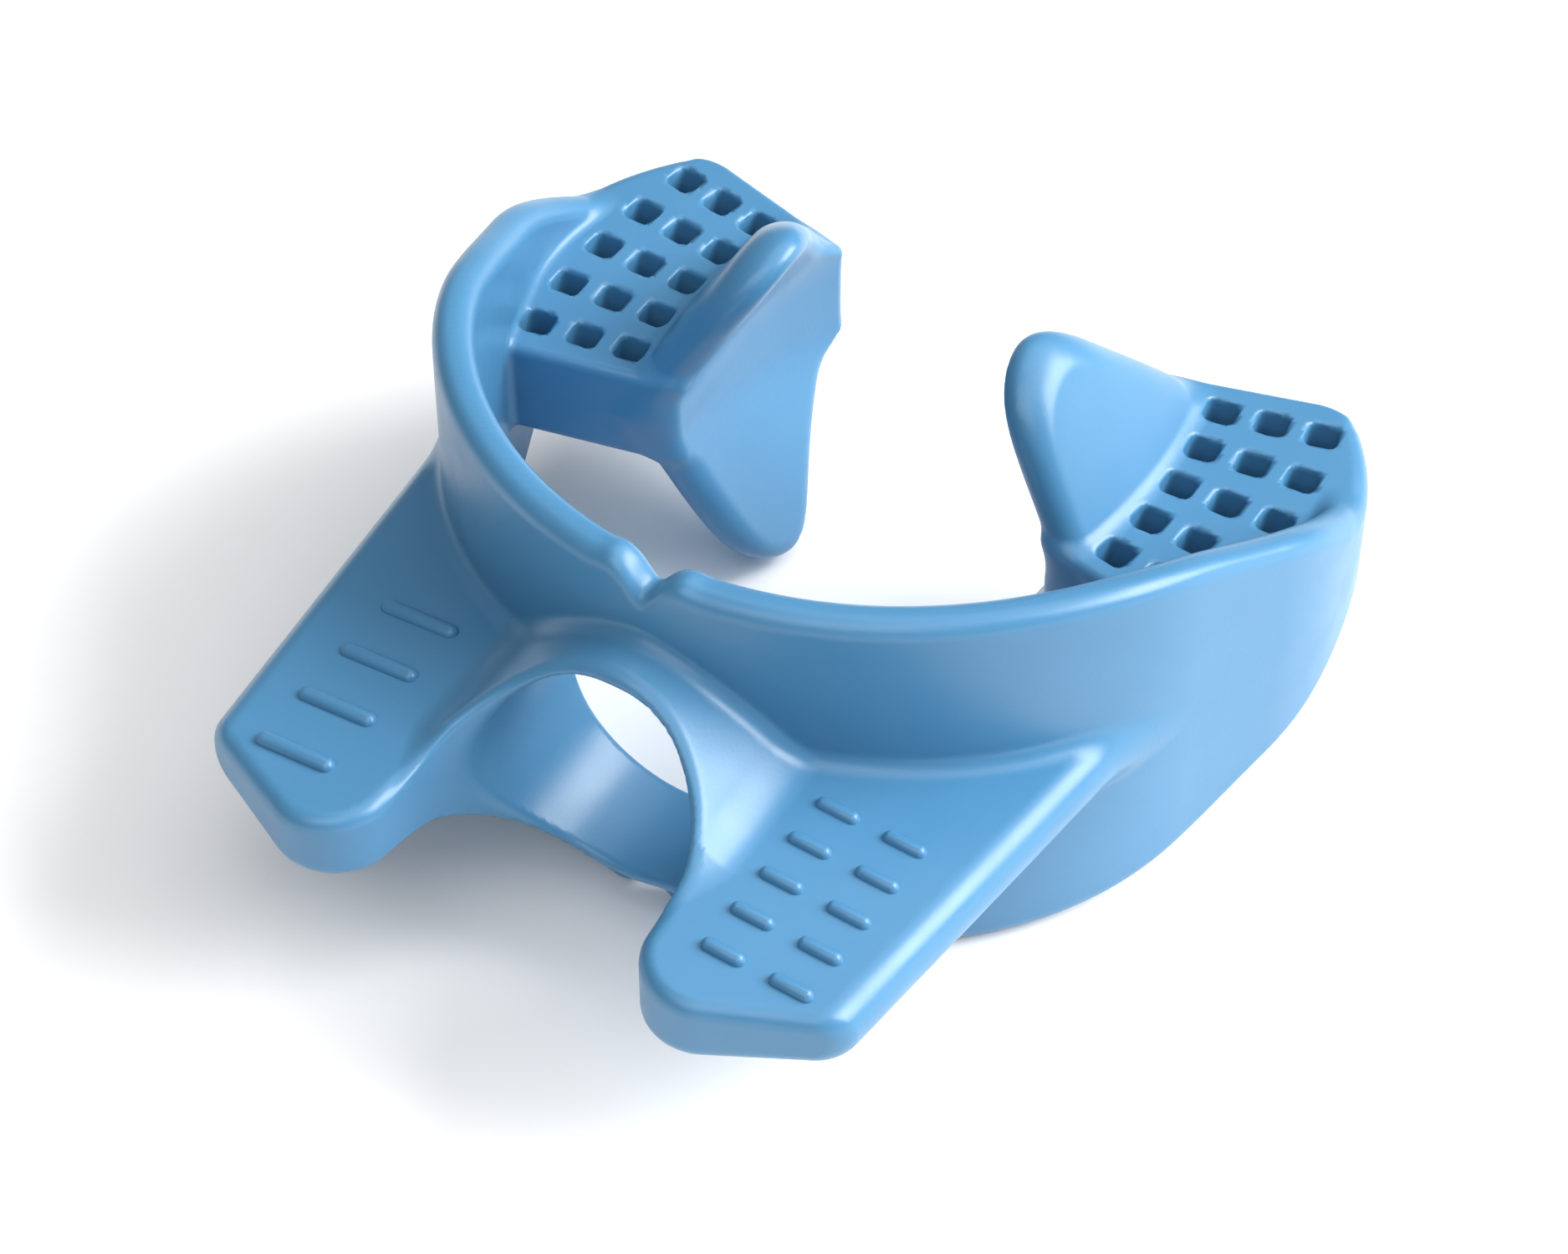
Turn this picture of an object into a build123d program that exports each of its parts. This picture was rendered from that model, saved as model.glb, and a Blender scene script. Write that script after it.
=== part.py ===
"""Dual-arch impression tray: one plastic moulding, modelled region by region.

Frame: +X to the right seen from the handle, +Y towards the throat, +Z up, millimetres.
The tray is the same on both sides of X = 0, and the same above and below the plane
Z = MID_Z, so half-heights are measured from that plane.
"""
from build123d import *
import os
from math import cos, hypot, radians, sin

os.makedirs("parts", exist_ok=True)

# ------------------------------------------------------------------ driving dimensions
MID_Z = 16.4            # plane of symmetry, which is also the half-height of the front rim
REACH = 90              # longer than the tray, for cutting shapes

# wall around the arch, in plan
ARCH_Y = 16.6           # centre of the round front
ARCH_R = 32.2           # outer radius of the round front
ARCH_HALF = 72          # degrees that the round front reaches to each side
FLARE = 8.5             # straight stretch behind the round front
CHEEK_R = 21            # outer radius beside the bite blocks
CHEEK_TURN = 70         # degrees of that curve
WALL = 3.0              # wall thickness
RIM_ROUND = 1.2         # rounding of the free rim
JOIN_ANGLE = 42         # the front wall reaches this far to each side, in degrees
# half-height of the rim along Y: level at the front, then falling to the bite blocks
RIM_FRONT = (-16.7, 16.4)
RIM_FALL = [(-12.7, 16.4), (-2.2, 15.8), (3.8, 14.8), (9.3, 13), (13.8, 11.1), (18.3, 9.2), (22.8, 6.7), (27.1, 4.1)]
WALL_BACK = RIM_FALL[-1][0]
NOTCH_R = 1.4           # frenum notch in the middle of the rim
NOTCH_RISE = 0.3        # its centre lies this far outside the rim

# perforated bite blocks, fanned about a point on the other side of the arch
FAN = (-26, 21.2)
BLOCK_HALF = 4.1
BLOCK_BACK = 15.8       # fan angle of the rear face
BLOCK_FRONT = -12.2     # fan angle of the front face
BLOCK_CORNER = 3.9      # plan radius of the rear cheek corner
BLOCK_EDGE = 0.7        # rounding along the rear and front faces
HOLE = 2.35             # across the flats of a hole
HOLE_CORNER = 0.6
HOLE_ROWS = [12.0 - 5.15 * row for row in range(5)]
HOLE_RADII = [46.9, 50.7, 54.5]

# lingual flanges, cones about the fan point that lean inwards, away from the block
FLANGE_ROOT_R = 45.4    # radius of the middle of the flange at the plane of symmetry
LEAN = 0.6              # inward run for each millimetre of height
FLANGE_T = 4.0
WEB_R = 41.8            # radius of the tongue side between the upper and lower flanges
FLANGE_ROUND = 1.6
FLANGE_REACH = 17       # half-height of the blank that the outline is cut from
# free edge of the flange: fan angle and half-height
FLANGE_EDGE = [(-11.8, 4.1), (-11.5, 8.6), (-10.4, 12.4), (-6.2, 15.0), (0.0, 14.9),
               (5.8, 11.6), (10.9, 7.7), (14.4, 4.1)]

# handle: two flat wings joined by an arched bridge over a round tunnel
WING_TIP = (28.9, 2.1)          # where the outer edge runs into the wall
WING_CORNER = (25.6, -31.2)     # outer front corner
WING_NOSE = (10.9, -38.2)       # inner front corner before rounding
NOSE_ROUND = 4.4
CORNER_ROUND = 1.2
WING_ROOT = (13.1, 2.9)         # X and half-height where wing and bridge meet
WING_EDGE = (28.9, 1.95)        # X and half-height at the outer edge
WING_ROUND = 1.5                # rounding of the outer edge
BRIDGE_TOP = 10.4               # half-height of the bridge on the centre line
BRIDGE_SHOULDER = (5.6, 9.0)    # X and half-height where its top turns into its flank
# the bridge slopes down to the wings between these, each a Y and a half-height
BRIDGE_SLOPE = [(-23.3, 6.2), (-29.6, 3.05)]
TUNNEL_R = 9.1
COLLAR_R = 11.3                 # collar around the tunnel behind the wall
COLLAR_BACK = -10.7
SLOT_HALF = 9.7                 # half width of the gap between the wings at the bridge
SLOT_END = -19.5                # Y of the end of the gap
SLOT_CORNER = 8.0
BRIDGE_X = 12.6                 # the wings begin outside this
BRIDGE_FRONT = -27.7            # and in front of this

# raised grip bars on the wings: plain rounded strips
BAR_H = 0.7
LONG_BAR = (6.4, 1.2)           # length and width
LONG_PITCH = 4.9
LONG_COUNT = 4
SHORT_BAR = (3.2, 1.0)
SHORT_PITCH = 3.6
SHORT_COUNT = 5
ROW_GAP = 5.2                   # between the two rows of short bars
BARS_AT = (18.4, -23.3)         # plan centre of the bars on a wing


def fan_point(radius, angle):
    """Plan point at a radius and an angle about the fan point of the right block."""
    return (FAN[0] + radius * cos(radians(angle)), FAN[1] + radius * sin(radians(angle)))


def flange_radius(half_height):
    """Fan radius of the middle of a flange at a half-height."""
    return FLANGE_ROOT_R - LEAN * half_height


across = FLANGE_T / 2 * hypot(1, LEAN)
flange_foot = flange_radius(BLOCK_HALF) + across    # fan radius where flange and block meet


def finish(part, name):
    """Label a finished piece and write it."""
    part.label = name
    export_step(part, f"parts/{name}.step")


# ------------------------------------------------------------------ shared outlines
with BuildSketch() as arch:
    with BuildLine():
        front = CenterArc((0, ARCH_Y), ARCH_R, -90, ARCH_HALF)
        flare = Line(front @ 1, front @ 1 + (front % 1) * FLARE)
        cheek = JernArc(flare @ 1, flare % 1, CHEEK_R, CHEEK_TURN)
        Polyline(cheek @ 1, (0, (cheek @ 1).Y), front @ 0)
    make_face()
    mirror(about=Plane.YZ)

with BuildSketch() as arch_inside:
    offset(arch.sketch, -WALL)

with BuildSketch() as wall_plan:
    add(arch.sketch)
    add(arch_inside.sketch, mode=Mode.SUBTRACT)
    with Locations((0, WALL_BACK)):
        Rectangle(REACH, REACH, align=(Align.CENTER, Align.MIN), mode=Mode.SUBTRACT)

with BuildSketch(Plane.YZ) as rim_side:
    with BuildLine():
        ends = []
        for up in (1, -1):
            level_z = MID_Z + up * RIM_FRONT[1]
            level = Line((RIM_FRONT[0], level_z), (RIM_FALL[0][0], level_z))
            fall = Spline([(y, MID_Z + up * half) for y, half in RIM_FALL])
            ends.append((level @ 0, fall @ 1))
        Line(ends[0][0], ends[1][0])
        Line(ends[0][1], ends[1][1])
    make_face()

# ------------------------------------------------------------------ wall round the arch
with BuildPart() as wall:
    extrude(wall_plan.sketch, 2 * MID_Z)
    extrude(rim_side.sketch, REACH, both=True, mode=Mode.INTERSECT)
    rims = wall.edges().filter_by(lambda edge: edge.length > 20)
    fillet(rims, RIM_ROUND)
    with Locations((0, ARCH_Y - ARCH_R, MID_Z)):
        Cylinder(TUNNEL_R, 4 * WALL, rotation=(90, 0, 0), mode=Mode.SUBTRACT)
    with Locations(*[(0, ARCH_Y - ARCH_R, MID_Z + s * (MID_Z + NOTCH_RISE)) for s in (-1, 1)]):
        Cylinder(NOTCH_R, 4 * WALL, rotation=(90, 0, 0), mode=Mode.SUBTRACT)

join_angle = radians(JOIN_ANGLE)
join_right = Plane((0, ARCH_Y, 0), z_dir=(cos(join_angle), sin(join_angle), 0))
join_left = Plane((0, ARCH_Y, 0), z_dir=(-cos(join_angle), sin(join_angle), 0))

with BuildPart() as right_cheek_wall:
    add(wall.part)
    split(bisect_by=join_right, keep=Keep.TOP)
finish(right_cheek_wall.part, "right_cheek_wall")

with BuildPart() as left_cheek_wall:
    mirror(right_cheek_wall.part, about=Plane.YZ)
finish(left_cheek_wall.part, "left_cheek_wall")

with BuildPart() as labial_wall:
    add(wall.part)
    split(bisect_by=join_right, keep=Keep.BOTTOM)
    split(bisect_by=join_left, keep=Keep.BOTTOM)
finish(labial_wall.part, "labial_wall")

with BuildPart() as tunnel_collar:
    with BuildSketch(Plane.XZ.offset(-COLLAR_BACK)):
        with Locations((0, MID_Z)):
            Circle(COLLAR_R)
            Circle(TUNNEL_R, mode=Mode.SUBTRACT)
    extrude(amount=3 * WALL)
    extrude(arch_inside.sketch, 2 * MID_Z, mode=Mode.INTERSECT)
finish(tunnel_collar.part, "tunnel_collar")

# ------------------------------------------------------------------ bite blocks
with BuildSketch() as block_plan:
    with BuildLine():
        Polyline(FAN, fan_point(REACH, BLOCK_FRONT), fan_point(REACH, BLOCK_BACK), close=True)
    make_face()
    with Locations(FAN):
        Circle(flange_foot, mode=Mode.SUBTRACT)
    add(arch.sketch, mode=Mode.INTERSECT)
    rear_cheek = block_plan.vertices().group_by(Axis.Y)[-1].sort_by(Axis.X)[-1]
    fillet(rear_cheek, BLOCK_CORNER)
    add(wall_plan.sketch, mode=Mode.SUBTRACT)

with BuildPart() as right_bite_block:
    with BuildSketch(Plane.XY.offset(MID_Z - BLOCK_HALF)):
        add(block_plan.sketch)
    extrude(amount=2 * BLOCK_HALF)
    for angle in (BLOCK_BACK, BLOCK_FRONT):
        face_point = Vector(*fan_point(50, angle), MID_Z)
        end_face = right_bite_block.faces().sort_by_distance(face_point)[0]
        fillet(end_face.edges().filter_by(Axis.Z, reverse=True), BLOCK_EDGE)
    with BuildSketch(Plane.XY.offset(MID_Z - BLOCK_HALF)):
        for angle in HOLE_ROWS:
            for radius in HOLE_RADII:
                with Locations(Location(fan_point(radius, angle), angle)):
                    RectangleRounded(HOLE, HOLE, HOLE_CORNER)
    extrude(amount=2 * BLOCK_HALF, mode=Mode.SUBTRACT)
finish(right_bite_block.part, "right_bite_block")

with BuildPart() as left_bite_block:
    mirror(right_bite_block.part, about=Plane.YZ)
finish(left_bite_block.part, "left_bite_block")

# ------------------------------------------------------------------ lingual flanges
fan_axis = Axis((FAN[0], FAN[1], 0), (0, 0, 1))
SPARE = 2               # degrees by which the flange blank overruns the block at each end


def radial_plane(angle):
    """Plane through the fan axis, with X outwards and Y up."""
    turn = radians(angle)
    return Plane(
        (FAN[0], FAN[1], MID_Z), x_dir=(cos(turn), sin(turn), 0), z_dir=(sin(turn), -cos(turn), 0)
    )


with BuildPart() as right_upper_flange:
    with BuildSketch(radial_plane(BLOCK_FRONT - SPARE)):
        with BuildLine():
            top = flange_radius(FLANGE_REACH)
            Polyline(
                (flange_foot - 2 * across, BLOCK_HALF),
                (flange_foot, BLOCK_HALF),
                (top + across, FLANGE_REACH),
                (top - across, FLANGE_REACH),
                close=True,
            )
        make_face()
    revolve(axis=fan_axis, revolution_arc=BLOCK_BACK - BLOCK_FRONT + 2 * SPARE)
    with BuildSketch(Plane.YZ):
        with BuildLine():
            edge_line = Spline([
                (FAN[1] + flange_radius(half) * sin(radians(angle)), MID_Z + half)
                for angle, half in FLANGE_EDGE
            ])
            Line(edge_line @ 1, edge_line @ 0)
        make_face()
    extrude(amount=REACH, mode=Mode.INTERSECT)
    free_edges = right_upper_flange.edges().filter_by(lambda edge: edge.length > 25)
    fillet(free_edges.group_by(Axis.Z)[-1], FLANGE_ROUND)
    with BuildSketch(radial_plane(BLOCK_FRONT)):
        with BuildLine():
            Polyline(
                (WEB_R, 0),
                (flange_foot, 0),
                (flange_foot, BLOCK_HALF),
                (flange_foot - 2 * across, BLOCK_HALF),
                close=True,
            )
        make_face()
    revolve(axis=fan_axis, revolution_arc=BLOCK_BACK - BLOCK_FRONT)
finish(right_upper_flange.part, "right_upper_flange")

with BuildPart() as left_upper_flange:
    mirror(right_upper_flange.part, about=Plane.YZ)
finish(left_upper_flange.part, "left_upper_flange")

with BuildPart() as right_lower_flange:
    mirror(right_upper_flange.part, about=Plane.XY.offset(MID_Z))
finish(right_lower_flange.part, "right_lower_flange")

with BuildPart() as left_lower_flange:
    mirror(right_lower_flange.part, about=Plane.YZ)
finish(left_lower_flange.part, "left_lower_flange")

# ------------------------------------------------------------------ handle
with BuildSketch() as handle_plan:
    with BuildLine():
        Polyline(
            (0, WING_TIP[1]), WING_TIP, WING_CORNER, WING_NOSE, (SLOT_HALF, SLOT_END), (0, SLOT_END),
            close=True,
        )
    make_face()
    corners = handle_plan.vertices()
    fillet(corners.sort_by_distance(WING_CORNER)[0], CORNER_ROUND)
    fillet(handle_plan.vertices().sort_by_distance(WING_NOSE)[0], NOSE_ROUND)
    fillet(handle_plan.vertices().sort_by_distance((SLOT_HALF, SLOT_END))[0], SLOT_CORNER)
    mirror(about=Plane.YZ)

with BuildSketch(Plane.XZ.offset(-WING_TIP[1])) as upper_section:
    with BuildLine():
        top_arc = ThreePointArc(
            (-BRIDGE_SHOULDER[0], MID_Z + BRIDGE_SHOULDER[1]),
            (0, MID_Z + BRIDGE_TOP),
            (BRIDGE_SHOULDER[0], MID_Z + BRIDGE_SHOULDER[1]),
        )
        for side, end in ((-1, top_arc @ 0), (1, top_arc @ 1)):
            Polyline(
                end,
                (side * WING_ROOT[0], MID_Z + WING_ROOT[1]),
                (side * WING_EDGE[0], MID_Z + WING_EDGE[1]),
                (side * WING_EDGE[0], MID_Z),
            )
        Line((-WING_EDGE[0], MID_Z), (WING_EDGE[0], MID_Z))
    make_face()

with BuildPart() as handle:
    extrude(upper_section.sketch, REACH)
    mirror(about=Plane.XY.offset(MID_Z))
    extrude(handle_plan.sketch, 2 * MID_Z, mode=Mode.INTERSECT)
    outer_x = (WING_CORNER[0] + WING_TIP[0]) / 2
    long_edges = handle.edges().filter_by(lambda edge: edge.length > 20)
    fillet(long_edges.filter_by(lambda edge: abs(abs((edge @ 0.5).X) - outer_x) < 1), WING_ROUND)
    extrude(arch.sketch, 2 * MID_Z, mode=Mode.SUBTRACT)
    with Locations((0, 0, MID_Z)):
        Cylinder(TUNNEL_R, REACH, rotation=(90, 0, 0), mode=Mode.SUBTRACT)
    for up in (1, -1):
        with BuildSketch(Plane.YZ):
            with BuildLine():
                (slope_y, slope_half), (level_y, level_half) = BRIDGE_SLOPE
                Polyline(
                    (slope_y, MID_Z + up * slope_half),
                    (level_y, MID_Z + up * level_half),
                    (WING_NOSE[1], MID_Z + up * level_half),
                    (WING_NOSE[1], MID_Z + up * BRIDGE_TOP),
                    (slope_y, MID_Z + up * BRIDGE_TOP),
                    close=True,
                )
            make_face()
        extrude(amount=REACH, both=True, mode=Mode.SUBTRACT)

with BuildPart() as handle_bridge:
    add(handle.part)
    with Locations((0, BRIDGE_FRONT, 0)):
        Box(2 * BRIDGE_X, REACH, REACH, align=(Align.CENTER, Align.MIN, Align.CENTER),
            mode=Mode.INTERSECT)

with BuildPart() as upper_bridge:
    add(handle_bridge.part)
    split(bisect_by=Plane.XY.offset(MID_Z), keep=Keep.TOP)
finish(upper_bridge.part, "upper_bridge")

with BuildPart() as lower_bridge:
    mirror(upper_bridge.part, about=Plane.XY.offset(MID_Z))
finish(lower_bridge.part, "lower_bridge")

with BuildPart() as right_wing:
    add(handle.part)
    add(handle_bridge.part, mode=Mode.SUBTRACT)
    split(bisect_by=Plane.YZ, keep=Keep.TOP)
finish(right_wing.part, "right_wing")

with BuildPart() as left_wing:
    mirror(right_wing.part, about=Plane.YZ)
finish(left_wing.part, "left_wing")

# ------------------------------------------------------------------ grip bars
slope = (WING_ROOT[1] - WING_EDGE[1]) / (WING_EDGE[0] - WING_ROOT[0])
bars_half = WING_ROOT[1] - slope * (BARS_AT[0] - WING_ROOT[0])


def wing_top(side):
    """Plane on the top of a wing, with its X running outwards across the wing."""
    return Plane(
        (side * BARS_AT[0], BARS_AT[1], MID_Z + bars_half),
        x_dir=(side, 0, -slope),
        z_dir=(side * slope, 0, 1),
    )


with BuildPart() as left_grip_bars:
    with BuildSketch(wing_top(-1)):
        with GridLocations(0, LONG_PITCH, 1, LONG_COUNT):
            SlotOverall(*LONG_BAR)
    extrude(amount=BAR_H)
finish(left_grip_bars.part, "left_grip_bars")

with BuildPart() as right_grip_bars:
    with BuildSketch(wing_top(1)):
        with GridLocations(ROW_GAP, SHORT_PITCH, 2, SHORT_COUNT):
            SlotOverall(*SHORT_BAR)
    extrude(amount=BAR_H)
finish(right_grip_bars.part, "right_grip_bars")
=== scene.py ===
"""Dual-arch impression tray: the moulding as one smooth surface, cut into its named regions.

The shape is a distance field in millimetres, negative inside the plastic. It is worked out for
one quarter of the tray, because the tray is the same on both sides of x = 0 and the same above
and below its middle plane, and heights in it are measured from that plane.
"""
from math import cos, hypot, radians, sin

import bmesh
import bpy
import numpy as np
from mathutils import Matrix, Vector


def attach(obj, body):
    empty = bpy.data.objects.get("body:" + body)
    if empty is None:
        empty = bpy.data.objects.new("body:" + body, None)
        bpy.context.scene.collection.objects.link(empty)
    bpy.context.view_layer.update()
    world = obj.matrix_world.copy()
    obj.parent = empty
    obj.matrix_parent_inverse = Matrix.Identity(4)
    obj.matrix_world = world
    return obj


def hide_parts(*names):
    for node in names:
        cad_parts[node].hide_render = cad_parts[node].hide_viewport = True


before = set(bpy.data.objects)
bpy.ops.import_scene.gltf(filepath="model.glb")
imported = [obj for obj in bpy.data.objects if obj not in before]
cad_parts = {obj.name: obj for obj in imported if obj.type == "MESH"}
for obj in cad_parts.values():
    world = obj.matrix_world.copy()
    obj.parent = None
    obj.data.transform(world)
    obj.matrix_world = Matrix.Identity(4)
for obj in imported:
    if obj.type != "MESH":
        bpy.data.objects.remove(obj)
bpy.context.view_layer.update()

MM = 0.001
PITCH = 0.36      # grid pitch of the surface, mm

# ------------------------------------------------------------------ dimensions, mm
MID_Z = 16.4                # the plane of symmetry

# wall round the arch
ARCH_C = (0.0, 16.6)        # centre of the round front
ARCH_R = 32.2
ARCH_HALF = radians(72)     # the round front reaches this far to each side
FLARE = 8.5                 # straight stretch behind the round front
CHEEK_R = 21.0              # outer radius beside the bite blocks
WALL = 3.0
RIM_ROUND = 1.35
BACK_ROUND = 0.75           # rounding of the rear edges, which are crisper than the rim
# y and half-height of the rim, which runs on below the blocks so that it leaves them cleanly
RIM = [(-16.7, 16.2), (-12.7, 16.25), (-2.2, 15.8), (3.8, 14.8), (9.3, 13.0), (13.8, 11.1),
       (18.3, 9.2), (22.8, 6.7), (25.8, 4.9), (27.8, 3.6), (29.8, 1.8), (33.3, -2.0)]
NOTCH_DEPTH = 1.9           # frenum notch in the middle of the rim
NOTCH_WIDTH = 1.3
SHOULDER_RISE = 0.2         # low swelling on each side of the notch
SHOULDER_X = 2.8
SHOULDER_WIDTH = 0.9

# perforated bite block, fanned about a point on the other side of the arch
FAN = (-26.0, 21.2)
BLOCK_HALF = 4.1
BLOCK_BACK = radians(15.8)
BLOCK_FRONT = radians(-12.2)
BLOCK_CORNER = 3.9          # plan radius of the rear cheek corner
BLOCK_EDGE = 0.8            # rounding along the front edges
BLOCK_OVERRUN = 3.0         # the block is made this much too long, then cut by the rear plane
HOLE = 2.35                 # across the flats of a hole
HOLE_CORNER = 0.6
HOLE_LIP = 0.25             # rounding of its mouth
HOLE_ROWS = [12.0 - 5.15 * row for row in range(5)]
HOLE_RADII = [46.9, 50.7, 54.5]

# lingual flanges, cones about the fan point that lean inwards, away from the block
SHEET_R = 45.4              # radius of the middle of the flange at the plane of symmetry
LEAN = 0.6                  # inward run for each millimetre of height
SLANT = hypot(1, LEAN)
SHEET_T = 4.0
SHEET_ROUND = 1.9           # rounding of its free edge
FOOT = 0.9                  # fillet between flange and block
FOOT_AT_BACK = 0.5          # more of it at the rear face
TONGUE_CRISP = 1.1          # less rounding where the tongue side meets the rear face of the block
# free edge of the flange: fan angle in degrees and half-height
FLANGE_EDGE = [(-12.4, -4.0), (-12.2, 1.0), (-11.8, 4.1), (-11.5, 8.6), (-10.4, 12.4), (-6.2, 15.0),
               (0.0, 14.9), (5.8, 11.6), (10.9, 7.7), (14.4, 4.1), (15.6, 1.0), (16.0, -4.0)]
# tongue side: between the upper and lower flange it flattens over a waist that widens to the rear
WAIST = (2.4, 5.5)          # half-height of the flattening at the front and at the rear
FULLNESS = (0.3, 0.9)       # and how far the tongue side then stands back towards the cheek
WAIST_START = -12.0         # degrees on the fan
WAIST_SPAN = 27.8
TONGUE_TWIST = 0.03         # inward, for each degree towards the rear

# handle: two wings joined by a hump over a round tunnel
WING_TIP = (28.9, 2.1)      # where the outer edge runs into the wall
WING_CORNER = (25.6, -31.2)  # outer front corner
WING_NOSE = (10.9, -38.2)   # inner front corner before rounding
NOSE_ROUND = 4.4
WING_EDGE_HALF = 2.15       # half-thickness at the outer edge
WING_SLOPE = 0.06           # rise of the top inwards from there
WING_EDGE_ROUND = 2.0
HUMP_TOP = 10.4
HUMP_R = 12.7
HUMP_SHOULDER = (5.6, 9.0)  # x and half-height at the top of the straight flank
HUMP_FOOT = (13.1, 3.2)     # and at its foot
HUMP_CREST = 2.0            # rounding between crown and flank
HUMP_FILLET = 1.8           # fillet between flank and wing
HUMP_FADE = (-24.5, 0.5)    # in front of this y the hump sinks by this much a millimetre
TUNNEL_R = 9.1
COLLAR_R = 11.3
COLLAR_BACK = -10.7
COLLAR_EDGE = 0.7           # its rounding, and its fillet with the wall
TUNNEL_EDGE = 0.6
SLOT_HALF = 9.7             # half width of the gap between the wings at its closed end
SLOT_FLARE = 0.065          # widening for each millimetre forwards
SLOT_END = -19.5
SLOT_CORNER = 8.0
HANDLE_ROUND = 1.2          # rounding round the plan of the handle
HANDLE_FILLET = 1.3         # fillet between handle and wall
BODY_FILLET = 0.8           # fillet between wall and block
FAR = 5.0                   # field value well outside any surface


# ------------------------------------------------------------------ field helpers
def union(a, b, r):
    """Union of two fields with a concave fillet of radius r between them."""
    return np.maximum(r, np.minimum(a, b)) - np.hypot(np.maximum(r - a, 0), np.maximum(r - b, 0))


def common(a, b, r):
    """Intersection of two fields with a convex rounding of radius r between them."""
    return np.minimum(-r, np.maximum(a, b)) + np.hypot(np.maximum(r + a, 0), np.maximum(r + b, 0))


def wedge(a, b, r, c=0.0):
    """Rounding of exact radius r where two flat faces meet, c being the dot product of their normals."""
    a, b = a + r, b + r
    beyond = (a > c * b) & (b > c * a)
    tip = np.sqrt(np.maximum(a * a + b * b - 2 * c * a * b, 0) / (1 - c * c))
    return np.where(beyond, tip, np.maximum(a, b)) - r


def smoothstep(a, b, t):
    """Ease from 0 at a to 1 at b; b may be the lower one."""
    t = np.clip((t - a) / (b - a), 0, 1)
    return t * t * (3 - 2 * t)


class Curve:
    """Natural cubic through points, each coordinate a function of the chord length."""

    def __init__(self, points):
        p = np.array(points, float)
        s = np.concatenate([[0], np.cumsum(np.hypot(*np.diff(p, axis=0).T))])
        n = len(p)
        a = np.eye(n)
        rhs = np.zeros_like(p)
        h = np.diff(s)
        for i in range(1, n - 1):
            a[i, i - 1:i + 2] = h[i - 1], 2 * (h[i - 1] + h[i]), h[i]
            rhs[i] = 6 * ((p[i + 1] - p[i]) / h[i] - (p[i] - p[i - 1]) / h[i - 1])
        self.s, self.p, self.m = s, p, np.linalg.solve(a, rhs)

    def __call__(self, t):
        i = np.clip(np.searchsorted(self.s, t) - 1, 0, len(self.s) - 2)
        h = (self.s[i + 1] - self.s[i])[..., None]
        u = (self.s[i + 1] - t)[..., None]
        v = (t - self.s[i])[..., None]
        m0, m1, p0, p1 = self.m[i], self.m[i + 1], self.p[i], self.p[i + 1]
        return (m0 * u ** 3 + m1 * v ** 3) / (6 * h) + (p0 / h - m0 * h / 6) * u + (p1 / h - m1 * h / 6) * v

    def samples(self, count):
        return self(np.linspace(0, self.s[-1], count))


rim_line = Curve(RIM).samples(400)


def rim_half(y):
    """Half-height of the wall's rim and its slope along y."""
    half = np.interp(y, rim_line[:, 0], rim_line[:, 1])
    slope = np.interp(y, rim_line[:, 0], np.gradient(rim_line[:, 1], rim_line[:, 0]))
    return half, slope


def arch_distance(x, y):
    """Plan distance to the outline of the arch: round front, straight flare, round cheek."""
    normal = (sin(ARCH_HALF), -cos(ARCH_HALF))
    along = (cos(ARCH_HALF), sin(ARCH_HALF))
    p1 = (ARCH_C[0] + ARCH_R * normal[0], ARCH_C[1] + ARCH_R * normal[1])
    p2 = (p1[0] + FLARE * along[0], p1[1] + FLARE * along[1])
    cheek = (p2[0] - CHEEK_R * normal[0], p2[1] - CHEEK_R * normal[1])
    s = (x - p1[0]) * along[0] + (y - p1[1]) * along[1]
    front = np.hypot(x - ARCH_C[0], y - ARCH_C[1]) - ARCH_R
    line = (x - p1[0]) * normal[0] + (y - p1[1]) * normal[1]
    back = np.hypot(x - cheek[0], y - cheek[1]) - CHEEK_R
    return np.where(s < 0, front, np.where(s < FLARE, line, back))


def fan_normal(angle):
    """Plan normal, towards the rear, of the ray at an angle from the fan point."""
    return (-sin(angle), cos(angle))


def plane_distance(x, y, point, normal):
    """Plan distance past the line through a point, along its normal."""
    return (x - point[0]) * normal[0] + (y - point[1]) * normal[1]


def outline_points():
    """The flange's outline laid flat: distance round the fan, and slant height."""
    edge = Curve(FLANGE_EDGE).samples(160)
    radius = SHEET_R - LEAN * edge[:, 1]
    return np.stack([radius * np.radians(edge[:, 0]), edge[:, 1] * SLANT], 1)


outline = outline_points()


def outline_distance(u, v):
    """Signed distance to the flange's outline, negative below it, in the flat layout."""
    best = np.full(u.shape, 1e9)
    sign = np.ones(u.shape)
    for a, b in zip(outline[:-1], outline[1:]):
        d = b - a
        t = np.clip(((u - a[0]) * d[0] + (v - a[1]) * d[1]) / (d @ d), 0, 1)
        dx, dy = u - a[0] - t * d[0], v - a[1] - t * d[1]
        q = dx * dx + dy * dy
        near = q < best
        best = np.where(near, q, best)
        # the outline runs clockwise over the flange, so the plastic lies on its right
        sign = np.where(near, np.sign(d[0] * dy - d[1] * dx), sign)
    return np.sqrt(best) * sign


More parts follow.
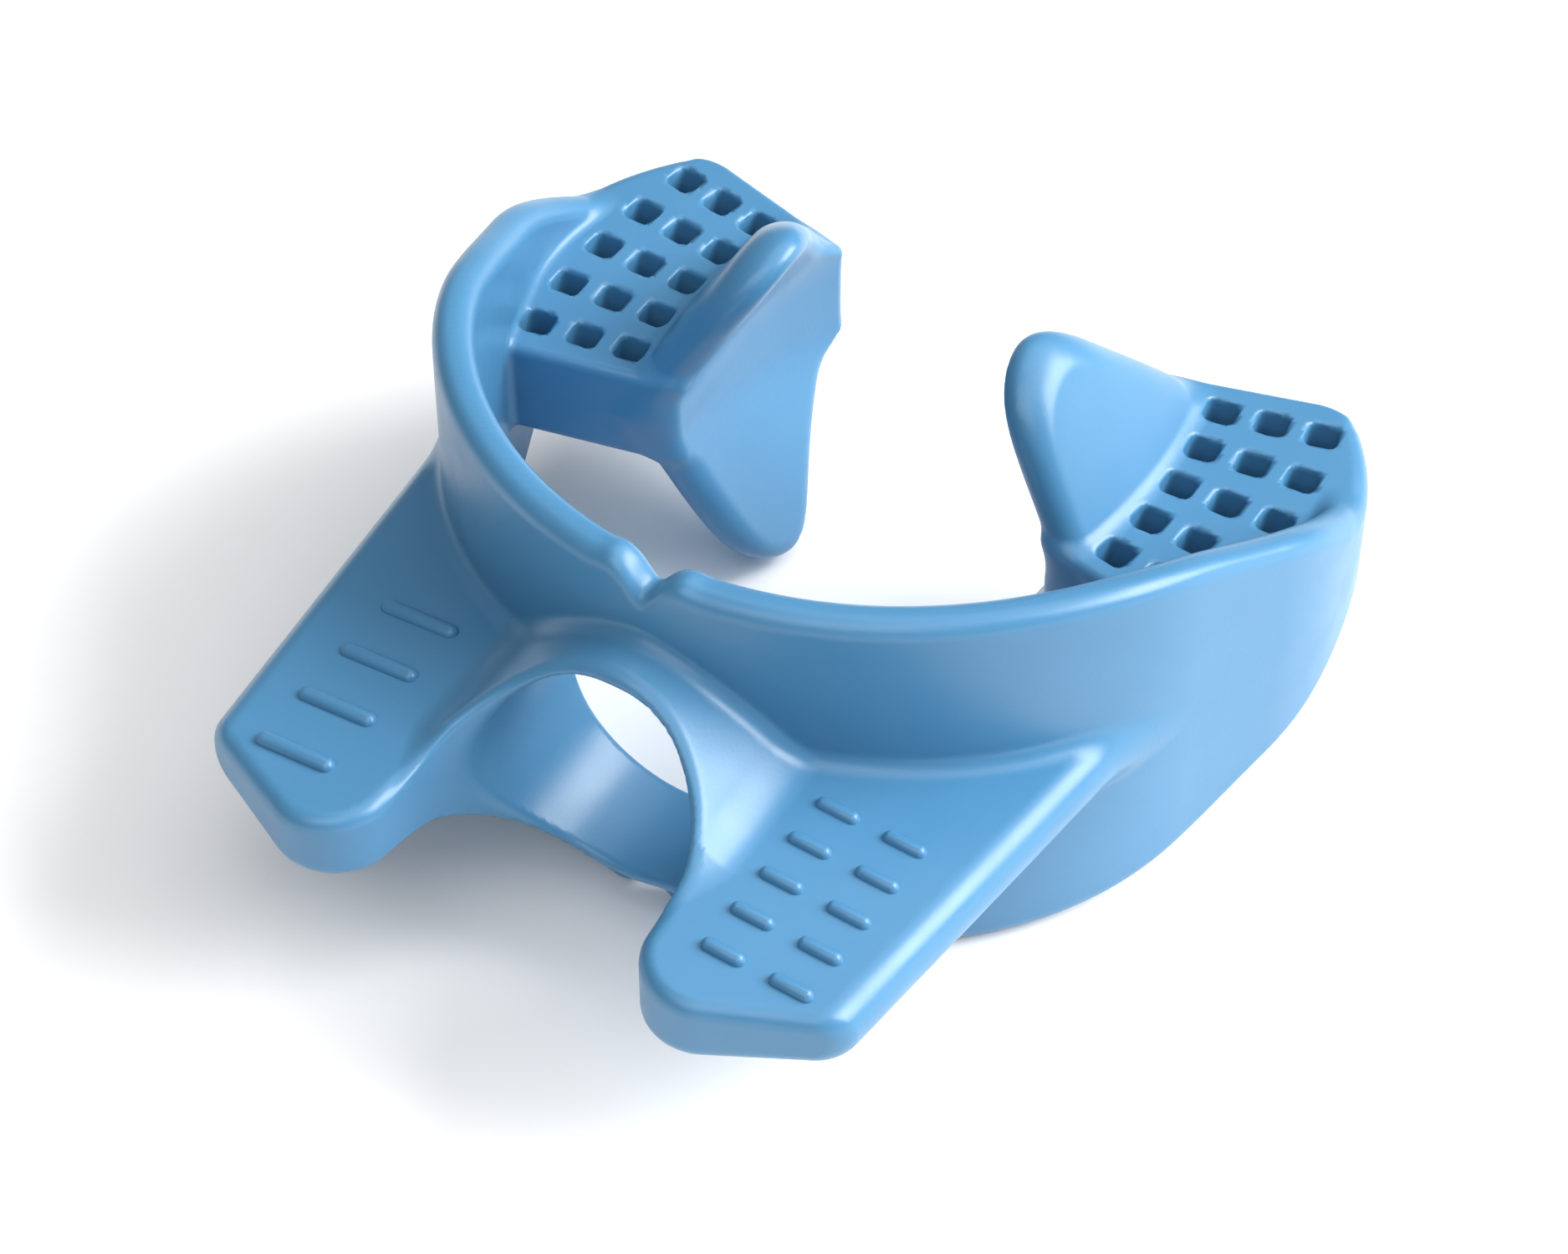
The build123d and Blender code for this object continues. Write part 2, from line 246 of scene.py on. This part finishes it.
def holes_distance(x, y):
    """Distance to the nearest of the block's rounded square holes, negative inside one."""
    best = np.full(x.shape, 1e9)
    for row in HOLE_ROWS:
        c, s = cos(radians(row)), sin(radians(row))
        for radius in HOLE_RADII:
            dx, dy = x - FAN[0] - radius * c, y - FAN[1] - radius * s
            a = np.abs(dx * c + dy * s) - HOLE / 2 + HOLE_CORNER
            b = np.abs(dy * c - dx * s) - HOLE / 2 + HOLE_CORNER
            d = np.hypot(np.maximum(a, 0), np.maximum(b, 0)) + np.minimum(np.maximum(a, b), 0)
            best = np.minimum(best, d - HOLE_CORNER)
    return best


def wall_field(x, y, h, outer):
    """The wall up to its rim, without its outer face."""
    half, slope = rim_half(y)
    notch = NOTCH_DEPTH * np.exp(-(x / NOTCH_WIDTH) ** 2)
    shoulder = SHOULDER_RISE * np.exp(-((x - SHOULDER_X) / SHOULDER_WIDTH) ** 2)
    rim = (h - half + (notch - shoulder) * (y < 0)) / np.sqrt(1 + slope ** 2)
    return common(-outer - WALL, rim, RIM_ROUND)


def tongue_side(rho, phi, h):
    """Lingual face of the flanges and of the block between them."""
    turn = np.degrees(phi)
    share = np.clip((turn - WAIST_START) / WAIST_SPAN, 0, 1)
    waist = WAIST[0] + (WAIST[1] - WAIST[0]) * share
    fullness = FULLNESS[0] + (FULLNESS[1] - FULLNESS[0]) * share - TONGUE_TWIST * turn
    radius = SHEET_R + fullness - LEAN * (h ** 4 + waist ** 4) ** 0.25
    return (radius - rho) / SLANT - SHEET_T / 2


def block_field(x, y, h):
    """The bite block and its lingual flange, still too long at the rear."""
    rho = np.hypot(x - FAN[0], y - FAN[1])
    phi = np.arctan2(y - FAN[1], x - FAN[0])
    front_face = -plane_distance(x, y, FAN, fan_normal(BLOCK_FRONT))
    back_face = plane_distance(x, y, FAN, fan_normal(BLOCK_BACK))
    block = common(common(front_face, h - BLOCK_HALF, BLOCK_EDGE), back_face - BLOCK_OVERRUN, BLOCK_EDGE)
    buccal = (rho - SHEET_R + LEAN * h) / SLANT - SHEET_T / 2
    edge = outline_distance((SHEET_R - LEAN * h) * phi, h * SLANT)
    flange = common(buccal, edge, SHEET_ROUND)
    at_back = smoothstep(-6.0, -1.0, back_face)
    both = union(block, flange, FOOT + FOOT_AT_BACK * at_back)
    # the tongue side has a crisper edge where it meets the rear face of the block
    crisp = smoothstep(-4.0, -1.0, back_face) * smoothstep(7.0, 4.5, h)
    return common(both, tongue_side(rho, phi, h), SHEET_ROUND - TONGUE_CRISP * crisp)


def body_field(x, y, h, outer):
    """Wall, blocks and flanges, cut off by the outside of the arch and the rear plane."""
    body = wall_field(x, y, h, outer)
    rear = (y > 4) & (x > 4)
    body[rear] = union(body[rear], block_field(x[rear], y[rear], h[rear]), BODY_FILLET)
    rear_limit = plane_distance(x, y, FAN, fan_normal(BLOCK_BACK))
    # the dot product of the two faces' normals where they meet is about 0.44
    limit = wedge(outer, rear_limit, BLOCK_CORNER, 0.44)
    back_edge = smoothstep(-1.5, -0.3, rear_limit - outer)
    return common(body, limit, RIM_ROUND + (BACK_ROUND - RIM_ROUND) * back_edge)


def edge_normal(start, end):
    """Outward plan normal of the handle's edge from start to end."""
    length = hypot(start[0] - end[0], start[1] - end[1])
    return ((start[1] - end[1]) / length, -(start[0] - end[0]) / length)


def handle_field(x, y, h, outer):
    """The two wings and the hump between them, before the tunnel is cut."""
    nose_normal = edge_normal(WING_CORNER, WING_NOSE)
    side = plane_distance(x, y, WING_CORNER, edge_normal(WING_TIP, WING_CORNER))
    nose_face = plane_distance(x, y, WING_CORNER, nose_normal)
    slot_side = x - SLOT_HALF - SLOT_FLARE * np.maximum(SLOT_END - y, 0)
    slot = wedge(slot_side, y - SLOT_END, SLOT_CORNER)
    plan = wedge(nose_face, -slot, NOSE_ROUND, -nose_normal[0])
    plan = np.maximum(np.maximum(plan, -(outer + WALL / 2)), y - ARCH_C[1])
    flat = (h - WING_EDGE_HALF + WING_SLOPE * side) / hypot(1, WING_SLOPE)
    wing_top = common(side, flat, WING_EDGE_ROUND)
    raised = h + HUMP_FADE[1] * np.maximum(HUMP_FADE[0] - y, 0)
    crown = np.hypot(x, raised - HUMP_TOP + HUMP_R) - HUMP_R
    run, drop = HUMP_FOOT[0] - HUMP_SHOULDER[0], HUMP_SHOULDER[1] - HUMP_FOOT[1]
    flank = ((x - HUMP_SHOULDER[0]) * drop + (raised - HUMP_SHOULDER[1]) * run) / hypot(run, drop)
    top = union(wing_top, common(crown, flank, HUMP_CREST), HUMP_FILLET)
    return common(plan, top, HANDLE_ROUND)


def field(x, y, h):
    """Signed distance, nearly, to the tray's surface at plan point x, y and height h above its middle."""
    x, h = np.abs(x), np.abs(h)
    outer = arch_distance(x, y)
    total = union(body_field(x, y, h, outer), handle_field(x, y, h, outer), HANDLE_FILLET)
    axis = np.hypot(x, h)
    collar = np.maximum(common(axis - COLLAR_R, y - COLLAR_BACK, COLLAR_EDGE), outer + WALL / 2)
    total = union(total, collar, COLLAR_EDGE)
    tunnel = np.where(y < 0, TUNNEL_R - axis, -FAR)
    total = common(total, tunnel, TUNNEL_EDGE)
    holes = np.full(x.shape, FAR)
    near = (x > 14) & (y > 6)
    holes[near] = holes_distance(x[near], y[near])
    return common(total, -holes, HOLE_LIP)


# ------------------------------------------------------------------ surface
def axis_nodes(low, high, symmetric):
    """Grid positions along one axis; a symmetric axis has a node pair astride zero."""
    if symmetric:
        count = int(high / PITCH) + 2
        return (np.arange(count) + 0.5) * PITCH
    count = int((high - low) / PITCH) + 2
    return low + np.arange(count) * PITCH


def sample_grid():
    """The field at every grid point, worked out for one quarter, and the place of the first point."""
    xs = axis_nodes(0, 35.2, True)
    ys = axis_nodes(-37.2, 37.6, False)
    hs = axis_nodes(0, 17.6, True)
    x, y, h = np.meshgrid(xs, ys, hs, indexing="ij")
    quarter = field(x.ravel(), y.ravel(), h.ravel()).reshape(x.shape)
    half = np.concatenate([quarter[::-1], quarter], 0)
    full = np.concatenate([half[:, :, ::-1], half], 2)
    return full, (-xs[-1], ys[0], -hs[-1])


def surface_nets(values, origin):
    """Vertices and quads of the zero surface, one vertex in each cell that it crosses."""
    inside = values < 0
    nx, ny, nz = (n - 1 for n in values.shape)
    corners = [(i, j, k) for i in (0, 1) for j in (0, 1) for k in (0, 1)]
    count = sum(inside[i:i + nx, j:j + ny, k:k + nz].astype(np.int8) for i, j, k in corners)
    active = np.argwhere((count > 0) & (count < 8))
    number = np.full((nx, ny, nz), -1, np.int64)
    number[tuple(active.T)] = np.arange(len(active))
    total = np.zeros((len(active), 3))
    hits = np.zeros(len(active))
    for a in corners:
        for b in corners:
            if sum(b) != sum(a) + 1 or any(q < p for p, q in zip(a, b)):
                continue
            fa = values[tuple((active + a).T)]
            fb = values[tuple((active + b).T)]
            cross = (fa < 0) != (fb < 0)
            t = fa[cross] / (fa[cross] - fb[cross])
            total[cross] += np.array(a) + t[:, None] * (np.array(b) - np.array(a))
            hits[cross] += 1
    verts = (active + total / hits[:, None]) * PITCH + np.array(origin)
    quads = []
    for axis in range(3):
        u, v = [i for i in range(3) if i != axis]
        step = np.eye(3, dtype=int)
        low = [slice(0, None)] * 3
        high = [slice(0, None)] * 3
        low[axis], high[axis] = slice(0, -1), slice(1, None)
        change = np.argwhere(inside[tuple(low)] != inside[tuple(high)])
        keep = (change[:, u] > 0) & (change[:, v] > 0)
        change = change[keep & (change[:, u] < values.shape[u] - 1) & (change[:, v] < values.shape[v] - 1)]
        starts = inside[tuple(change.T)]
        around = [change - step[u] - step[v], change - step[v], change, change - step[u]]
        ids = np.stack([number[tuple(c.T)] for c in around], 1)
        flip = starts if axis != 1 else ~starts
        ids[~flip] = ids[~flip][:, ::-1]
        quads.append(ids)
    return verts, np.concatenate(quads)


def gradient(p):
    """Gradient of the field at points, by central differences."""
    step = 0.01
    g = np.empty_like(p)
    for axis in range(3):
        d = np.zeros(3)
        d[axis] = step
        g[:, axis] = (field(*(p + d).T) - field(*(p - d).T)) / (2 * step)
    return g


def project(p):
    """Move points onto the zero surface."""
    for _ in range(3):
        g = gradient(p)
        f = field(*p.T)
        move = (f / np.maximum((g * g).sum(1), 0.25))[:, None] * g
        p = p - np.clip(move, -PITCH / 2, PITCH / 2)
    return p


values, origin = sample_grid()
verts, quads = surface_nets(values, origin)
verts = project(verts)

whole = bmesh.new()
whole_verts = [whole.verts.new(p) for p in verts.tolist()]
for quad in quads.tolist():
    whole.faces.new([whole_verts[i] for i in quad])


# ------------------------------------------------------------------ regions
def beyond(normal, distance):
    """Half-space that is kept: the side of the plane that its normal points to."""
    return (Vector(normal).normalized(), distance)


# plan point where wing, bridge and wall meet, and the normals of the planes through it
MEET = (12.3, -15.87)
WING_CUT = (0.674, -0.739, 0)
FLANK_CUT = (0.980, -0.198, 0)
BEHIND_BRIDGE = MEET[1]
CHEEK_START = 5.3                   # the cheek wall, block and flanges begin at this y
CHEEK_CUT = (0.982, -0.188, 0)      # normal of the plane between cheek wall and block
CHEEK_AT = 24.73
FLANGE_START = 5.0                  # half-height where a flange begins
wing_at = MEET[0] * WING_CUT[0] + MEET[1] * WING_CUT[1]
flank_at = MEET[0] * FLANK_CUT[0] + MEET[1] * FLANK_CUT[1]


def opposite(cut):
    """The same plane seen from its other side."""
    return tuple(-c for c in cut)


def mirrored(cut):
    """The plane's mirror image on the left of the tray."""
    return (-cut[0], cut[1], cut[2])


behind = [beyond((0, 1, 0), BEHIND_BRIDGE), beyond(opposite(WING_CUT), -wing_at),
          beyond(opposite(mirrored(WING_CUT)), -wing_at)]
bridge = [beyond((0, -1, 0), -BEHIND_BRIDGE), beyond(opposite(FLANK_CUT), -flank_at),
          beyond(opposite(mirrored(FLANK_CUT)), -flank_at)]
rear_right = [beyond((0, 1, 0), CHEEK_START), beyond((1, 0, 0), 0)]
inside_cheek = rear_right + [beyond(opposite(CHEEK_CUT), -CHEEK_AT)]
CENTRE_PIECES = {
    "labial_wall": (behind + [beyond((0, -1, 0), -CHEEK_START)], ["labial_wall", "tunnel_collar"]),
    "upper_bridge": (bridge + [beyond((0, 0, 1), 0)], ["upper_bridge"]),
    "lower_bridge": (bridge + [beyond((0, 0, -1), 0)], ["lower_bridge"]),
}
SIDE_PIECES = {
    "wing": [beyond(WING_CUT, wing_at), beyond(FLANK_CUT, flank_at)],
    "cheek_wall": rear_right + [beyond(CHEEK_CUT, CHEEK_AT)],
    "bite_block": inside_cheek + [beyond((0, 0, -1), -FLANGE_START), beyond((0, 0, 1), -FLANGE_START)],
    "upper_flange": inside_cheek + [beyond((0, 0, 1), FLANGE_START)],
    "lower_flange": inside_cheek + [beyond((0, 0, -1), FLANGE_START)],
}


def cut_out(cuts):
    """The part of the moulding inside every half-space, closed, and the set of faces that close it."""
    part = whole.copy()
    caps = []
    for normal, distance in cuts:
        geometry = part.verts[:] + part.edges[:] + part.faces[:]
        bmesh.ops.bisect_plane(part, geom=geometry, dist=1e-5, plane_co=normal * distance, plane_no=normal,
                               clear_inner=True)
        rim = [edge for edge in part.edges if edge.is_boundary]
        filled = bmesh.ops.triangle_fill(part, use_beauty=True, use_dissolve=False, edges=rim, normal=-normal)
        caps += filled["geom"]
    cap_faces = {f for f in caps if f.is_valid and isinstance(f, bmesh.types.BMFace)}
    return part, cap_faces


def smooth_normals(points):
    """Unit normals of the field's surface at points."""
    g = gradient(points)
    return g / np.linalg.norm(g, axis=1)[:, None]


def stand_in(part, name, stands_for):
    """Lift a mesh in millimetres about the middle plane into the frame, and hand it over as an object."""
    bmesh.ops.translate(part, vec=(0, 0, MID_Z), verts=part.verts[:])
    bmesh.ops.scale(part, vec=(MM, MM, MM), verts=part.verts[:])
    mesh = bpy.data.meshes.new(name)
    part.to_mesh(mesh)
    item = bpy.data.objects.new(name, mesh)
    bpy.context.collection.objects.link(item)
    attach(item, "root")
    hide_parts(*stands_for)
    pieces.append(item)
    return item


def make_piece(name, part, cap_faces, stands_for, side=1):
    """Write a region as an object; its outer face is shaded with the field's own normals."""
    bmesh.ops.recalc_face_normals(part, faces=part.faces[:])
    if side < 0:
        bmesh.ops.scale(part, vec=(-1, 1, 1), verts=part.verts[:])
        bmesh.ops.reverse_faces(part, faces=part.faces[:])
    part.verts.index_update()
    points = np.array([v.co[:] for v in part.verts])
    normals = smooth_normals(points)
    loops = []
    for face in part.faces:
        face.smooth = True
        if face in cap_faces:
            loops += [face.normal[:]] * len(face.verts)
        else:
            loops += [normals[v.index].tolist() for v in face.verts]
    item = stand_in(part, name, stands_for)
    item.data.normals_split_custom_set(loops)


pieces = []
for name, (cuts, stands_for) in CENTRE_PIECES.items():
    part, cap_faces = cut_out(cuts)
    make_piece(name + "_smooth", part, cap_faces, stands_for)
for name, cuts in SIDE_PIECES.items():
    for side_name, side in (("right", 1), ("left", -1)):
        part, cap_faces = cut_out(cuts)
        make_piece(f"{side_name}_{name}_smooth", part, cap_faces, [f"{side_name}_{name}"], side)


# ------------------------------------------------------------------ grip bars
BARS_AT = (18.4, -23.3)     # plan centre of the bars on a wing
BARS_INSET = 7.3            # and how far that lies inside the wing's outer edge
BARS_HALF = WING_EDGE_HALF + WING_SLOPE * BARS_INSET
BAR_RISE = 0.62
BAR_SUNK = 0.5
LONG_PITCH = 4.9
LONG_BARS = [(0.0, LONG_PITCH * (i - 1.5)) for i in range(4)]
SHORT_PITCH = 3.6
ROW_GAP = 5.2
SHORT_BARS = [(ROW_GAP * (k - 0.5), SHORT_PITCH * (i - 2)) for k in range(2) for i in range(5)]


def bar(part, centre, length, width, side):
    """Pill with a rounded crest, sunk a little into the wing."""
    made = bmesh.ops.create_uvsphere(part, u_segments=32, v_segments=16, radius=1.0)["verts"]
    half = (length - width) / 2
    for v in made:
        x, y, z = v.co
        shift = half if x > 1e-6 else -half if x < -1e-6 else 0
        across = BARS_AT[0] + centre[0] + x * width / 2 + shift
        top = BARS_HALF - WING_SLOPE * (across - BARS_AT[0])
        rise = z * (BAR_RISE if z > 0 else BAR_SUNK)
        v.co = (side * across, BARS_AT[1] + centre[1] + y * width / 2, top + rise)


def bars(name, node, places, length, width, side):
    """One wing's set of bars as an object."""
    part = bmesh.new()
    for centre in places:
        bar(part, centre, length, width, side)
    bmesh.ops.recalc_face_normals(part, faces=part.faces[:])
    for face in part.faces:
        face.smooth = True
    stand_in(part, name, [node])


bars("left_grip_bars_smooth", "left_grip_bars", LONG_BARS, 6.4, 1.3, -1)
bars("right_grip_bars_smooth", "right_grip_bars", SHORT_BARS, 3.3, 1.1, 1)


# ------------------------------------------------------------------ plastic
def plastic():
    """Satin moulded plastic: a very fine grain, and slight wandering of its gloss and shade."""
    material = bpy.data.materials.new("tray_plastic")
    material.use_nodes = True
    nodes, links = material.node_tree.nodes, material.node_tree.links
    shader = nodes["Principled BSDF"]
    place = nodes.new("ShaderNodeTexCoord")

    def noise(scale, detail):
        node = nodes.new("ShaderNodeTexNoise")
        node.inputs["Scale"].default_value = scale
        node.inputs["Detail"].default_value = detail
        links.new(place.outputs["Object"], node.inputs["Vector"])
        return node.outputs["Fac"]

    shade = nodes.new("ShaderNodeValToRGB")
    shade.color_ramp.elements[0].position = 0.3
    shade.color_ramp.elements[0].color = (0.052, 0.185, 0.340, 1)
    shade.color_ramp.elements[1].position = 0.7
    shade.color_ramp.elements[1].color = (0.062, 0.205, 0.370, 1)
    links.new(noise(55.0, 3.0), shade.inputs["Fac"])
    links.new(shade.outputs["Color"], shader.inputs["Base Color"])

    gloss = nodes.new("ShaderNodeMapRange")
    gloss.inputs["From Min"].default_value = 0.3
    gloss.inputs["From Max"].default_value = 0.7
    gloss.inputs["To Min"].default_value = 0.30
    gloss.inputs["To Max"].default_value = 0.38
    links.new(noise(260.0, 4.0), gloss.inputs["Value"])
    links.new(gloss.outputs["Result"], shader.inputs["Roughness"])

    grain = nodes.new("ShaderNodeBump")
    grain.inputs["Strength"].default_value = 0.25
    grain.inputs["Distance"].default_value = 0.00003
    links.new(noise(3200.0, 2.0), grain.inputs["Height"])
    links.new(grain.outputs["Normal"], shader.inputs["Normal"])
    return material


paint = plastic()
for item in pieces:
    item.data.materials.append(paint)

# ------------------------------------------------------------------ stage, lights and camera
bpy.ops.mesh.primitive_plane_add(size=6, location=(0, 0, 0))
floor = bpy.context.object
floor.name = "floor"
pale = bpy.data.materials.new("floor_paint")
pale.use_nodes = True
pale.node_tree.nodes["Principled BSDF"].inputs["Base Color"].default_value = (0.9, 0.9, 0.9, 1)
pale.node_tree.nodes["Principled BSDF"].inputs["Roughness"].default_value = 0.9
floor.data.materials.append(pale)


def lamp(name, place, target, size, power):
    """Rectangular area light at a place, facing a target."""
    data = bpy.data.lights.new(name, "AREA")
    data.shape = "RECTANGLE"
    data.size, data.size_y = size
    data.energy = power
    item = bpy.data.objects.new(name, data)
    item.location = place
    item.rotation_euler = (Vector(target) - Vector(place)).to_track_quat("-Z", "Y").to_euler()
    bpy.context.collection.objects.link(item)
    return item


lamp("key", (0.68, 0.42, 0.56), (0, 0, 0.016), (0.8, 0.6), 18)
lamp("fill", (0.15, -0.75, 0.90), (0, 0, 0.016), (1.0, 0.8), 5.5)
lamp("top", (0.35, 0.35, 1.1), (0, 0, 0.016), (1.6, 1.6), 11)

world = bpy.data.worlds.new("studio")
bpy.context.scene.world = world
world.use_nodes = True
world.node_tree.nodes["Background"].inputs["Color"].default_value = (1, 1, 1, 1)
world.node_tree.nodes["Background"].inputs["Strength"].default_value = 0.24

camera_data = bpy.data.cameras.new("camera")
camera_data.lens = 100.4
camera_data.sensor_width = 36
camera = bpy.data.objects.new("camera", camera_data)
bpy.context.collection.objects.link(camera)
camera.location = (0.1151, -0.1840, 0.2375)
aim = Vector((-0.0043, 0.0096, 0.0036))
camera.rotation_euler = (aim - camera.location).to_track_quat("-Z", "Y").to_euler()
bpy.context.scene.camera = camera
bpy.context.scene.view_settings.view_transform = "Standard"
